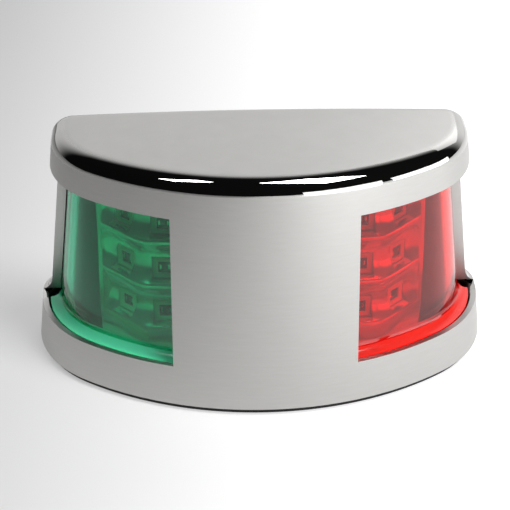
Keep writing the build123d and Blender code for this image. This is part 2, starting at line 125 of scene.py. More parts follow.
def linear(hex_colour, alpha=1.0):
    """sRGB hex, such as "C8C4BE", as a linear colour."""
    channels = [int(hex_colour[i : i + 2], 16) / 255 for i in (0, 2, 4)]
    return tuple(
        c / 12.92 if c <= 0.04045 else ((c + 0.055) / 1.055) ** 2.4 for c in channels
    ) + (alpha,)


def node(tree, kind, settings=None, links=None):
    """Adds one node with its settings and links. A key that starts with a dot is a property."""
    made = tree.nodes.new(kind)
    for key, value in (settings or {}).items():
        if isinstance(key, str) and key.startswith("."):
            setattr(made, key[1:], value)
        else:
            made.inputs[key].default_value = value
    for key, source in (links or {}).items():
        tree.links.new(source, made.inputs[key])
    return made


def material(name):
    """New empty node material with an output."""
    made = bpy.data.materials.new(name)
    made.use_nodes = True
    made.node_tree.nodes.clear()
    return made, made.node_tree


def finish_material(tree, shader):
    """Links a shader to the material's output."""
    node(tree, "ShaderNodeOutputMaterial", links={"Surface": shader})


def wandering(tree, coords, low, high, scale):
    """Value that wanders slowly between two limits, as hand finishing leaves it."""
    cloud = node(tree, "ShaderNodeTexNoise", {"Scale": scale, "Detail": 4.0}, {"Vector": coords})
    return node(
        tree, "ShaderNodeMapRange", {"To Min": low, "To Max": high}, {"Value": cloud.outputs["Fac"]}
    ).outputs["Result"]


def mesh_object(name, mesh):
    """Object at the origin in the scene's collection."""
    made = bpy.data.objects.new(name, mesh)
    bpy.context.scene.collection.objects.link(made)
    return made


def from_bmesh(name, shape, smooth=True):
    """Plain object from a bmesh in millimetres."""
    bmesh.ops.scale(shape, vec=(MM, MM, MM), verts=shape.verts)
    mesh = bpy.data.meshes.new(name)
    shape.to_mesh(mesh)
    shape.free()
    for face in mesh.polygons:
        face.use_smooth = smooth
    return mesh_object(name, mesh)


def dress(piece, surface, body, replaced=()):
    """Gives a piece its material, its body and the nodes it stands for."""
    piece.data.materials.clear()
    piece.data.materials.append(surface)
    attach(piece, body)
    if replaced:
        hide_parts(*replaced)


def merged_copy(name, cad_node):
    """Copy of a CAD node with its seams merged and its curved faces smooth."""
    shape = bmesh.new()
    shape.from_mesh(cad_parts[cad_node].data)
    bmesh.ops.remove_doubles(shape, verts=shape.verts, dist=SEAM)
    mesh = bpy.data.meshes.new(name)
    shape.to_mesh(mesh)
    shape.free()
    mesh.shade_smooth()
    mesh.set_sharp_from_angle(angle=radians(SHARP_EDGE))
    return mesh_object(name, mesh)


# ---------------------------------------------------------------- half-moon outline


def shift(z):
    """How far the leaning walls have moved in at a height."""
    return (z - BASE_LINE) * LEAN


def outline(turn, inset):
    """Plan point on the +X half. Turn runs 0 at the bow, 90 at the widest line, 91 to 181 round
    the rear corner and on to 281 at the middle of the back."""
    if turn <= JOIN_TURN:
        angle = radians(turn - 90)
        reach = FRONT_RADIUS - inset
        return (reach * cos(angle), FRONT_CENTRE + reach * sin(angle))
    if turn <= 90:
        angle = radians(turn - 90)
        reach = SIDE_RADIUS - inset
        return (HALF_WIDTH - SIDE_RADIUS + reach * cos(angle), WIDEST_Y + reach * sin(angle))
    corner = max(CORNER_RADIUS - inset, 0.3)
    edge = HALF_WIDTH - inset
    rear = WIDEST_Y + REAR_PART - inset
    if turn <= 91:
        return (edge, WIDEST_Y + (rear - corner - WIDEST_Y) * (turn - 90))
    if turn <= 181:
        angle = radians(turn - 91)
        return (edge - corner + corner * cos(angle), rear - corner + corner * sin(angle))
    return ((edge - corner) * (281 - turn) / 100, rear)


def turn_at_x(x, inset):
    """Turn on the bow arc where the outline reaches x."""
    return degrees(asin(x / (FRONT_RADIUS - inset)))


def turn_at_y(y, inset):
    """Turn on the side arc or the rear corner where the outline reaches y."""
    if y <= WIDEST_Y:
        return 90 + degrees(asin((y - WIDEST_Y) / (SIDE_RADIUS - inset)))
    corner = CORNER_RADIUS - inset
    start = WIDEST_Y + REAR_PART - CORNER_RADIUS
    return 91 + degrees(asin(min(max((y - start) / corner, 0.0), 1.0)))


def slanted(foot_y, top_y, z):
    """Y at a height on a line given by its places at the window's foot and top."""
    share = (z - RIM_TOP) / (WINDOW_TOP - RIM_TOP)
    return WIDEST_Y + foot_y + (top_y - foot_y) * share


def spread(start, end, count):
    """Even steps from start to end, both included."""
    return [start + (end - start) * i / count for i in range(count + 1)]


def stitched(rows, skip=lambda r, c: False):
    """Quads between rows of points, each row as long as the next."""
    shape = bmesh.new()
    grid = [[shape.verts.new(point) for point in row] for row in rows]
    for r in range(len(grid) - 1):
        for c in range(len(grid[r]) - 1):
            if not skip(r, c):
                shape.faces.new((grid[r][c], grid[r][c + 1], grid[r + 1][c + 1], grid[r + 1][c]))
    return shape


def both_halves(shape):
    """Mirrors a +X half on to -X and joins the two at the middle."""
    geometry = shape.verts[:] + shape.edges[:] + shape.faces[:]
    copied = bmesh.ops.duplicate(shape, geom=geometry)["geom"]
    verts = [item for item in copied if isinstance(item, bmesh.types.BMVert)]
    for vert in verts:
        vert.co.x = -vert.co.x
    faces = [item for item in copied if isinstance(item, bmesh.types.BMFace)]
    bmesh.ops.reverse_faces(shape, faces=faces)
    bmesh.ops.remove_doubles(shape, verts=shape.verts, dist=0.003)
    bmesh.ops.dissolve_degenerate(shape, edges=shape.edges, dist=0.002)


def outward_faces(shape):
    """Turns all faces of an open or closed shell the way the highest one should point."""
    bmesh.ops.recalc_face_normals(shape, faces=shape.faces)
    top = max(shape.faces, key=lambda face: face.calc_center_median().z)
    if top.normal.z < 0:
        bmesh.ops.reverse_faces(shape, faces=shape.faces)


# ---------------------------------------------------------------- steel cover


def cover_stations(z):
    """Turns of the cover's upright lines at a height, with the block each belongs to."""
    level = min(max(z, RIM_TOP), WINDOW_TOP)
    wall_inset = shift(level)
    panel = turn_at_x(PANEL_HALF, wall_inset)
    jamb = turn_at_y(JAMB_Y, wall_inset + RECESS)
    rear = turn_at_y(slanted(RECESS_END_FOOT, RECESS_END_TOP, level), wall_inset + RECESS)
    stations = [("panel", t) for t in spread(0, panel, 12)]
    stations += [("window", t) for t in spread(panel, jamb, 22)[1:]]
    stations += [("return", jamb)]
    stations += [("column", t) for t in spread(jamb, rear, 10)]
    stations += [("rear", t) for t in spread(rear, 181, 12)]
    stations += [("rear", t) for t in spread(181, 281, 10)[1:]]
    return stations


def cover_row(z, recessed):
    """One level of the cover. Recessed levels set the side column back from the rim and lid."""
    row = []
    for block, turn in cover_stations(z):
        inset = shift(z)
        if block == "column":
            inset += recessed
        elif block == "return":
            inset += COLUMN_INNER if recessed else 0.0
        x, y = outline(turn, inset)
        row.append((x, y, z))
    return row


def build_cover(ease):
    """Half-moon shell with a domed lid, two windows and set-back side columns."""
    rows = [cover_row(z, 0) for z in RIM_LEVELS]
    first_window = len(rows)
    for turn in range(0, 91, 15):
        a = radians(turn)
        rows.append(cover_row(RIM_TOP + FOOT_FLARE * (1 - cos(a)), RECESS * sin(a) or 1e-4))
    for z in spread(RIM_TOP + FOOT_FLARE, WINDOW_TOP, 12)[1:]:
        rows.append(cover_row(z, RECESS))
    last_window = len(rows) - 1
    rows += [cover_row(z, 0) for z in LID_LEVELS]
    lid_rows = []
    turns = [turn for _, turn in cover_stations(WINDOW_TOP)]
    for step in spread(DRAFT, 90, 12):
        row = []
        for turn in turns:
            x, y = outline(turn, shift(HEIGHT - LID_FILLET) + LID_FILLET)
            crown = HEIGHT - (x * x + y * y) / (2 * DOME_RADIUS)
            centre_z = crown - LID_FILLET
            centre_in = shift(centre_z) + LID_FILLET / cos(radians(DRAFT))
            x, y = outline(turn, centre_in - LID_FILLET * cos(radians(step)))
            row.append((x, y, centre_z + LID_FILLET * sin(radians(step))))
        lid_rows.append(row)
    rows += lid_rows
    rim = lid_rows[-1]
    for share in LID_RINGS:
        row = []
        for x, y, _ in rim:
            px = x * share
            py = LID_MIDDLE_Y + (y - LID_MIDDLE_Y) * share
            row.append((px, py, HEIGHT - (px * px + py * py) / (2 * DOME_RADIUS)))
        rows.append(row)
    rows.append([(0.0, LID_MIDDLE_Y, HEIGHT)] * len(rim))
    blocks = [block for block, _ in cover_stations(RIM_TOP)]

    def open_window(r, c):
        """Faces left out: the windows, as far as the column's front face."""
        inside = first_window - 1 <= r <= last_window
        return inside and blocks[c + 1] in ("window", "return")

    shape = stitched(rows, open_window)
    both_halves(shape)
    outward_faces(shape)
    cover = from_bmesh("steel_cover_shell", shape)
    solid = cover.modifiers.new("Sheet thickness", "SOLIDIFY")
    solid.thickness = SHEET * MM
    solid.offset = -1
    solid.use_even_offset = True
    solid.use_quality_normals = True
    bevel = cover.modifiers.new("Eased edges", "BEVEL")
    bevel.width = ease
    bevel.segments = 3
    bevel.limit_method = "ANGLE"
    bevel.angle_limit = radians(40)
    bevel.use_clamp_overlap = True
    normals = cover.modifiers.new("Flat faces stay flat", "WEIGHTED_NORMAL")
    normals.keep_sharp = True
    return cover


def stainless_steel():
    """316 stainless, pressed, satin on its flats and buffed bright on its rounded edges: a soft
    grey that turns to sharp dark and white reflections where it bends."""
    made, tree = material("Stainless steel, satin and buffed")
    coords = node(tree, "ShaderNodeTexCoord").outputs["Object"]
    facing = node(tree, "ShaderNodeNewGeometry").outputs["Normal"]
    upright = node(tree, "ShaderNodeSeparateXYZ", links={"Vector": facing}).outputs["Z"]
    finish = node(tree, "ShaderNodeFloatCurve", links={"Value": upright})
    curve = finish.mapping.curves[0]
    curve.points[0].location = (0.0, SATIN)
    curve.points[1].location = (1.0, SATIN - 0.04)
    for slope, gloss in ((0.12, SATIN), (0.2, BUFFED), (0.93, BUFFED), (0.985, SATIN - 0.08)):
        curve.points.new(slope, gloss)
    finish.mapping.update()
    # brushing lines about 0.15 mm apart, drawn some 0.4 mm apart so that they show
    stretched = node(
        tree, "ShaderNodeMapping", {"Scale": (1.0, 1.0, 12.0)}, {"Vector": coords}
    ).outputs["Vector"]
    grain = node(
        tree, "ShaderNodeTexNoise", {"Scale": 210.0, "Detail": 4.0}, {"Vector": stretched}
    ).outputs["Fac"]
    cloud = wandering(tree, coords, -0.025, 0.035, 70.0)
    fine = node(
        tree, "ShaderNodeMapRange", {"To Min": -0.02, "To Max": 0.02}, {"Value": grain}
    ).outputs["Result"]
    uneven = node(tree, "ShaderNodeMath", {".operation": "ADD"}, {0: cloud, 1: fine})
    rough = node(
        tree,
        "ShaderNodeMath",
        {".operation": "ADD", ".use_clamp": True},
        {0: finish.outputs["Value"], 1: uneven.outputs[0]},
    )
    tone = node(
        tree,
        "ShaderNodeMix",
        {".data_type": "RGBA", 6: linear("B4B3B1"), 7: linear("BEBDBB")},
        {"Factor": grain},
    )
    lift = node(
        tree, "ShaderNodeBump", {"Strength": 0.015, "Distance": 0.0002}, {"Height": grain}
    ).outputs["Normal"]
    shader = node(
        tree,
        "ShaderNodeBsdfPrincipled",
        {"Metallic": 1.0},
        {"Base Color": tone.outputs[2], "Roughness": rough.outputs[0], "Normal": lift},
    )
    finish_material(tree, shader.outputs[0])
    return made


# ---------------------------------------------------------------- lenses


def build_lens(name, side):
    """Leaning lens wall with its foot rounded out into a shelf level with the rim."""
    inset, thick, shelf = 4.2, 2.2, 2.0
    foot, top, shelf_top, round_foot = 7.7, 48.0, 10.2, 2.4
    split, rear = 1.1, WIDEST_Y - 0.6
    section = [(0.35, top), (0.0, top - 0.35)]
    section += [(0.0, z) for z in spread(top - 1, shelf_top + round_foot, 8)]
    for turn in range(15, 91, 15):
        a = radians(turn)
        section.append((-round_foot * (1 - cos(a)), shelf_top + round_foot * (1 - sin(a))))
    flat = shelf - inset
    section += [(flat + 0.25, shelf_top), (flat, shelf_top - 0.25), (flat, foot)]
    section += [(thick, foot)]
    section += [(thick, z) for z in spread(shelf_top, top - 0.35, 8)]
    section += [(thick - 0.35, top)]
    rows = []
    for depth_in, z in section:
        wall_inset = inset + shift(z)
        row = []
        start = turn_at_x(split, wall_inset + depth_in)
        end = turn_at_y(rear, wall_inset + depth_in)
        for turn in spread(start, end, 60):
            x, y = outline(turn, wall_inset + depth_in)
            row.append((side * x, y, z))
        rows.append(row)
    rows.append(rows[0])
    shape = stitched(rows)
    bmesh.ops.remove_doubles(shape, verts=shape.verts, dist=0.003)
    bmesh.ops.dissolve_degenerate(shape, edges=shape.edges, dist=0.002)
    loops = [edge for edge in shape.edges if edge.is_boundary]
    bmesh.ops.holes_fill(shape, edges=loops, sides=0)
    bmesh.ops.recalc_face_normals(shape, faces=shape.faces)
    lens = from_bmesh(name, shape)
    lens.data.set_sharp_from_angle(angle=radians(35))
    return lens


def tinted_lens(name, colour, through, clear, gloss):
    """Polycarbonate, injection moulded: clear tint with sharp gloss where it is polished, milky
    where little of it is clear, which on the lens feet is a painted glow, and lamplight let through
    to what lies behind."""
    made, tree = material(name)
    coords = node(tree, "ShaderNodeTexCoord").outputs["Object"]
    # slow flow waves of the moulding, about 6 mm across
    wave = node(
        tree, "ShaderNodeTexNoise", {"Scale": 160.0, "Detail": 1.0}, {"Vector": coords}
    ).outputs["Fac"]
    lift = node(
        tree, "ShaderNodeBump", {"Strength": 0.02, "Distance": 0.0005}, {"Height": wave}
    ).outputs["Normal"]
    shader = node(
        tree,
        "ShaderNodeBsdfPrincipled",
        {
            "Base Color": linear(colour),
            "Roughness": gloss,
            "IOR": 1.58,
            "Specular IOR Level": 0.1,
            "Transmission Weight": clear,
        },
        {"Normal": lift},
    )
    open_way = node(tree, "ShaderNodeBsdfTransparent", {"Color": linear(through)})
    path = node(tree, "ShaderNodeLightPath")
    both = node(
        tree,
        "ShaderNodeMixShader",
        links={
            0: path.outputs["Is Shadow Ray"],
            1: shader.outputs[0],
            2: open_way.outputs[0],
        },
    )
    finish_material(tree, both.outputs[0])
    return made


# ---------------------------------------------------------------- other finishes


def metallised_plastic():
    """ABS moulding, vacuum metallised and lacquered: a bright silver that is a little milky and
    soft, so that it takes light from every side."""
    made, tree = material("Vacuum metallised ABS")
    coords = node(tree, "ShaderNodeTexCoord").outputs["Object"]
    orange = node(
        tree, "ShaderNodeTexNoise", {"Scale": 900.0, "Detail": 2.0}, {"Vector": coords}
    ).outputs["Fac"]
    lift = node(
        tree, "ShaderNodeBump", {"Strength": 0.04, "Distance": 0.0002}, {"Height": orange}
    ).outputs["Normal"]
    rough = wandering(tree, coords, 0.14, 0.24, 300.0)
    shader = node(
        tree,
        "ShaderNodeBsdfPrincipled",
        {"Base Color": linear("F2F2F2"), "Metallic": 0.82},
        {"Roughness": rough, "Normal": lift},
    )
    finish_material(tree, shader.outputs[0])
    return made


def plain_finish(name, colour, low, high, grain_scale, bump, metallic=0.0, second=None):
    """Solid moulded, cast or plated finish with a fine grain and a slow change of tone."""
    made, tree = material(name)
    coords = node(tree, "ShaderNodeTexCoord").outputs["Object"]
    grain = node(
        tree, "ShaderNodeTexNoise", {"Scale": grain_scale, "Detail": 3.0}, {"Vector": coords}
    ).outputs["Fac"]
    tone = node(
        tree,
        "ShaderNodeMix",
        {".data_type": "RGBA", 6: linear(colour), 7: linear(second or colour)},
        {"Factor": grain},
    )
    lift = node(
        tree, "ShaderNodeBump", {"Strength": bump, "Distance": 0.0002}, {"Height": grain}
    ).outputs["Normal"]
    rough = node(
        tree, "ShaderNodeMapRange", {"To Min": low, "To Max": high}, {"Value": grain}
    ).outputs["Result"]
    shader = node(
        tree,
        "ShaderNodeBsdfPrincipled",
        {"Metallic": metallic},
        {"Base Color": tone.outputs[2], "Roughness": rough, "Normal": lift},
    )
    finish_material(tree, shader.outputs[0])
    return made


def repaint(cad_nodes, surface):
    """Gives CAD nodes whose shape is right a better finish."""
    for name in cad_nodes:
        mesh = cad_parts[name].data
        if mesh.materials:
            for slot in range(len(mesh.materials)):
                mesh.materials[slot] = surface
        else:
            mesh.materials.append(surface)


def smooth_nodes(cad_nodes, surface, body):
    """Stands smooth merged copies in for CAD nodes with curved faces."""
    for name in cad_nodes:
        piece = merged_copy(name + "_smooth", name)
        dress(piece, surface, body, (name,))


# ---------------------------------------------------------------- LED packages


def chip_places(cad_node):
    """Middle and turn about Z of every chip in a CAD node, from its separate boxes."""
    shape = bmesh.new()
    shape.from_mesh(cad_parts[cad_node].data)
    bmesh.ops.remove_doubles(shape, verts=shape.verts, dist=SEAM)
    left = set(shape.verts)
    places = []
    while left:
        island, queue = set(), [next(iter(left))]
        while queue:
            vert = queue.pop()
            if vert in island:
                continue
            island.add(vert)
            queue.extend(edge.other_vert(vert) for edge in vert.link_edges)
        left -= island
        middle = sum((vert.co for vert in island), Vector()) / len(island)
        level = [edge for vert in island for edge in vert.link_edges]
        sides = [edge.verts[1].co - edge.verts[0].co for edge in level]
        thin = min((v for v in sides if abs(v.z) < 1e-5), key=lambda v: v.length)
        facing = thin if thin.y < 0 else -thin
        places.append((middle, atan2(facing.x, -facing.y)))
    shape.free()
    return places


def group_input(tree, name, kind, value=None):
    """Adds a named input to a node group."""
    socket = tree.interface.new_socket(name=name, in_out="INPUT", socket_type=kind)
    if value is not None:
        socket.default_value = value


def chip_group():
    """Node group that sets an LED package on every point: a square white frame with a square
    well, dark resin in the well and two plated pads."""
    tree = bpy.data.node_groups.new("LED package on points", "GeometryNodeTree")
    group_input(tree, "Points", "NodeSocketGeometry")
    for name, value in (("Side", 5.0), ("Thickness", LED_THICKNESS), ("Well side", 2.9),
                        ("Resin depth", 0.35), ("Pad size", 1.0)):
        group_input(tree, name, "NodeSocketFloat", value * MM)
    for name in ("Frame finish", "Resin finish", "Pad finish"):
        group_input(tree, name, "NodeSocketMaterial")
    tree.interface.new_socket(name="Mesh", in_out="OUTPUT", socket_type="NodeSocketGeometry")
    given = node(tree, "NodeGroupInput").outputs
    square = node(
        tree,
        "GeometryNodeCurvePrimitiveQuadrilateral",
        links={"Width": given["Side"], "Height": given["Side"]},
    )
    well = node(
        tree,
        "GeometryNodeCurvePrimitiveQuadrilateral",
        links={"Width": given["Well side"], "Height": given["Well side"]},
    )
    outlines = node(tree, "GeometryNodeJoinGeometry", links={"Geometry": square.outputs["Curve"]})
    tree.links.new(well.outputs["Curve"], outlines.inputs["Geometry"])
    sheet = node(tree, "GeometryNodeFillCurve", links={"Curve": outlines.outputs["Geometry"]})
    raised = node(
        tree,
        "GeometryNodeExtrudeMesh",
        {"Individual": False},
        {"Mesh": sheet.outputs["Mesh"], "Offset Scale": given["Thickness"]},
    )
    under = node(tree, "GeometryNodeFlipFaces", links={"Mesh": sheet.outputs["Mesh"]})
    closed = node(tree, "GeometryNodeJoinGeometry", links={"Geometry": raised.outputs["Mesh"]})
    tree.links.new(under.outputs["Mesh"], closed.inputs["Geometry"])
    frame_mesh = node(
        tree,
        "GeometryNodeMergeByDistance",
        {"Distance": SEAM},
        {"Geometry": closed.outputs["Geometry"]},
    ).outputs["Geometry"]
    resin_height = node(
        tree,
        "ShaderNodeMath",
        {".operation": "SUBTRACT"},
        {0: given["Thickness"], 1: given["Resin depth"]},
    ).outputs[0]
    half_height = node(
        tree, "ShaderNodeMath", {".operation": "MULTIPLY", 1: 0.5}, {0: resin_height}
    ).outputs[0]
    resin_size = node(
        tree,
        "ShaderNodeCombineXYZ",
        links={"X": given["Well side"], "Y": given["Well side"], "Z": resin_height},
    )
    block = node(tree, "GeometryNodeMeshCube", links={"Size": resin_size.outputs[0]})
    resin_place = node(tree, "ShaderNodeCombineXYZ", links={"Z": half_height})
    resin_mesh = node(
        tree,
        "GeometryNodeTransform",
        links={"Geometry": block.outputs["Mesh"], "Translation": resin_place.outputs[0]},
    ).outputs["Geometry"]
    slim = node(
        tree, "ShaderNodeMath", {".operation": "MULTIPLY", 1: 0.35}, {0: given["Pad size"]}
    ).outputs[0]
    pad_size = node(
        tree, "ShaderNodeCombineXYZ", {"Z": 0.1 * MM}, {"X": slim, "Y": given["Pad size"]}
    )
    pad = node(tree, "GeometryNodeMeshCube", links={"Size": pad_size.outputs[0]})
    pad_pair = node(tree, "GeometryNodeJoinGeometry")
    for way in (-0.9, 0.9):
        reach = node(
            tree, "ShaderNodeMath", {".operation": "MULTIPLY", 1: way}, {0: given["Pad size"]}
        )
        place = node(
            tree, "ShaderNodeCombineXYZ", links={"X": reach.outputs[0], "Z": resin_height}
        )
        moved = node(
            tree,
            "GeometryNodeTransform",
            links={"Geometry": pad.outputs["Mesh"], "Translation": place.outputs[0]},
        )
        tree.links.new(moved.outputs["Geometry"], pad_pair.inputs["Geometry"])
    turn = node(tree, "GeometryNodeInputNamedAttribute", {".data_type": "FLOAT", "Name": "turn"})
    euler = node(
        tree, "ShaderNodeCombineXYZ", {"X": pi / 2}, {"Z": turn.outputs["Attribute"]}
    )
    rotation = node(tree, "FunctionNodeEulerToRotation", links={"Euler": euler.outputs[0]})
    gathered = node(tree, "GeometryNodeJoinGeometry")
    for mesh, finish in (
        (frame_mesh, "Frame finish"),
        (resin_mesh, "Resin finish"),
        (pad_pair.outputs["Geometry"], "Pad finish"),
    ):
        copies = node(
            tree,
            "GeometryNodeInstanceOnPoints",
            links={
                "Points": given["Points"],
                "Instance": mesh,
                "Rotation": rotation.outputs["Rotation"],
            },
        )
        real = node(
            tree, "GeometryNodeRealizeInstances", links={"Geometry": copies.outputs["Instances"]}
        )
        painted = node(
            tree,
            "GeometryNodeSetMaterial",
            links={"Geometry": real.outputs["Geometry"], "Material": given[finish]},
        )
        tree.links.new(painted.outputs["Geometry"], gathered.inputs["Geometry"])
    node(tree, "NodeGroupOutput", links={"Mesh": gathered.outputs["Geometry"]})
    return tree


def led_packages(chip, resin, pads):
    """LED packages of both colours in one piece, set where the frame's chips are."""
    places = chip_places("green_leds") + chip_places("red_leds")
    half_thickness = LED_THICKNESS / 2 * MM
    backs = [
        middle - Vector((sin(turn), -cos(turn), 0)) * half_thickness for middle, turn in places
    ]
    mesh = bpy.data.meshes.new("led_points")
    mesh.from_pydata([tuple(back) for back in backs], [], [])
    turns = mesh.attributes.new("turn", "FLOAT", "POINT")
    turns.data.foreach_set("value", [turn for _, turn in places])
    carrier = mesh_object("led_points", mesh)
    tree = chip_group()
    modifier = carrier.modifiers.new("LED packages", "NODES")
    modifier.node_group = tree
    finishes = {"Frame finish": chip, "Resin finish": resin, "Pad finish": pads}
    for item in tree.interface.items_tree:
        if item.name in finishes:
            modifier[item.identifier] = finishes[item.name]
    graph = bpy.context.evaluated_depsgraph_get()
    baked = bpy.data.meshes.new_from_object(carrier.evaluated_get(graph))
    piece = mesh_object("led_packages", baked)
    carrier.modifiers.clear()
    bpy.data.objects.remove(carrier)
    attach(piece, "base")
    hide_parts("green_leds", "red_leds")


# ---------------------------------------------------------------- operators


class BOWLIGHT_PG_sizes(bpy.types.PropertyGroup):
    """Sizes a user would change."""

    edge_ease: bpy.props.FloatProperty(
        name="Edge ease",
        description="Width of the eased edge round the cover's windows and rim",
        default=0.28 * MM,
        subtype="DISTANCE",
        unit="LENGTH",
    )


class BOWLIGHT_PG_colours(bpy.types.PropertyGroup):
    """Colours a user would change."""

    green: bpy.props.StringProperty(
        name="Green lens", description="Tint of the starboard lens, sRGB hex", default="45D9A6"
    )
    red: bpy.props.StringProperty(
        name="Red lens", description="Tint of the port lens, sRGB hex", default="E2241E"
    )
    # the foot colours are a painted glow, lighter than the lens tints, standing in for light on the
    # shelves
    green_foot_painted_glow: bpy.props.StringProperty(
        name="Green foot", description="Colour of the green lens's painted glow foot", default="5FE0B0"
    )
    red_foot_painted_glow: bpy.props.StringProperty(
        name="Red foot", description="Colour of the red lens's painted glow foot", default="F2342C"
    )


class BOWLIGHT_OT_cover(bpy.types.Operator):
    """Builds the steel cover"""

    bl_idname = "bowlight.cover"
    bl_label = "Steel cover"

    def execute(self, context):
        cover = build_cover(context.scene.bowlight_sizes.edge_ease)
        dress(cover, stainless_steel(), "cover", ("steel_cover",))
        return {"FINISHED"}


class BOWLIGHT_OT_lenses(bpy.types.Operator):
    """Builds the green and the red lens"""

    bl_idname = "bowlight.lenses"
    bl_label = "Lenses"

    def execute(self, context):
        colours = context.scene.bowlight_colours
        for colour_name, side, colour, foot_painted_glow, through in (
            ("green", -1, colours.green, colours.green_foot_painted_glow, "DDF9EE"),
            ("red", 1, colours.red, colours.red_foot_painted_glow, "FDDCD9"),
        ):
            lens = build_lens(colour_name + "_lens_wall", side)
            wall = tinted_lens(
                "Polycarbonate, polished clear " + colour_name, colour, through, 0.96, 0.03
            )
            dress(lens, wall, "base", (colour_name + "_lens",))
            # painted glow: the foot gets a lighter, mostly diffuse colour that stands in for the
            # light its shelf reflects and lets through, so it glows instead of showing the dark
            foot = tinted_lens(
                "Polycarbonate, frosted foot, " + colour_name, foot_painted_glow, through, 0.25, 0.14
            )
            lens.data.materials.append(foot)
            for face in lens.data.polygons:
                face.material_index = int(face.center.z < PAINTED_GLOW_TOP * MM)
        return {"FINISHED"}


class BOWLIGHT_OT_reflectors(bpy.types.Operator):
    """Builds the metallised reflectors"""

    bl_idname = "bowlight.reflectors"
    bl_label = "Reflectors"

    def execute(self, context):
        smooth_nodes(
            ("green_reflector", "red_reflector"), metallised_plastic(), "base"
        )
        return {"FINISHED"}


class BOWLIGHT_OT_inside(bpy.types.Operator):
    """Finishes the boards, screens, base and electronics"""

    bl_idname = "bowlight.inside"
    bl_label = "Inside and base"

    def execute(self, context):
        # near black with a soft sheen
        black = plain_finish(
            "ABS, moulded black", "0B0B0C", 0.35, 0.5, 1500.0, 0.15, 0.0, "101012"
        )
        # black and dull
        rubber = plain_finish(
            "EPDM rubber, moulded", "0C0C0C", 0.6, 0.8, 2500.0, 0.3, 0.0, "141414"
        )
        # bright, with the faint lines of turning
        bright = plain_finish("Stainless steel, turned", "C9C6C2", 0.2, 0.32, 1800.0, 0.05, 1.0)
        # warm white and half gloss
        board = plain_finish(
            "Solder mask, white", "DAD9D2", 0.3, 0.42, 900.0, 0.05, 0.0, "E8E7E1"
        )
        # dark green and half gloss
        green_board = plain_finish(
            "Solder mask, green", "0E3B22", 0.3, 0.4, 900.0, 0.08, 0.0, "124A2B"
        )
        # cream white and smooth
        chip = plain_finish(
            "LED package, white", "E9E4C6", 0.3, 0.4, 900.0, 0.05, 0.0, "F2EFDA"
        )
        # charcoal with a fine dull grain
        epoxy = plain_finish(
            "Epoxy moulding, black", "121213", 0.4, 0.55, 2000.0, 0.2, 0.0, "19191A"
        )
        # silver and soft
        can = plain_finish("Aluminium can, drawn", "C7C8CA", 0.22, 0.34, 700.0, 0.05, 1.0)
        # mid green with a soft sheen
        green_block = plain_finish(
            "Polyamide, moulded green", "1B6B45", 0.4, 0.5, 1500.0, 0.1, 0.0, "1F7A4F"
        )
        # deep red and smooth
        lead = plain_finish(
            "PVC wire cover, red", "9A1712", 0.35, 0.45, 2500.0, 0.1, 0.0, "A81B15"
        )
        # light grey with a soft sheen
        pale = plain_finish(
            "ABS, moulded pale grey", "D8D8D4", 0.35, 0.5, 1500.0, 0.12, 0.0, "E2E2DE"
        )
        # milky and smooth
        silicone = plain_finish(
            "Silicone, moulded translucent", "D2D8D2", 0.3, 0.45, 1800.0, 0.1, 0.0, "DDE2DC"
        )
        smooth_nodes(("base_tray",), pale, "base")
        repaint(("centre_screen", "green_side_screen", "red_side_screen", "top_cap"), black)
        smooth_nodes(("deck_gasket", "cable_grommet"), rubber, "base")
        repaint(("lens_seal",), silicone)
        repaint(("cover_pad",), rubber)
        repaint(
            ("board_screws", "cap_screws", "cover_screws", "cover_nuts", "terminal_screws"), bright
        )
        repaint(
            ("green_side_board", "green_front_board", "red_side_board", "red_front_board"), board
        )
        repaint(("driver_board",), green_board)
        # almost black and glossy
        resin = plain_finish(
            "Encapsulating resin, dark", "1E241D", 0.1, 0.18, 900.0, 0.02, 0.0, "2A3028"
        )
        # pale and bright
        pads = plain_finish("Die pads, silver plated", "DAD8CE", 0.2, 0.3, 1200.0, 0.03, 1.0)
        led_packages(chip, resin, pads)
        repaint(("inductor", "regulator", "diode"), epoxy)
        repaint(("capacitor",), can)
        repaint(("terminal_block",), green_block)
        repaint(("green_leads", "red_leads"), lead)
        return {"FINISHED"}


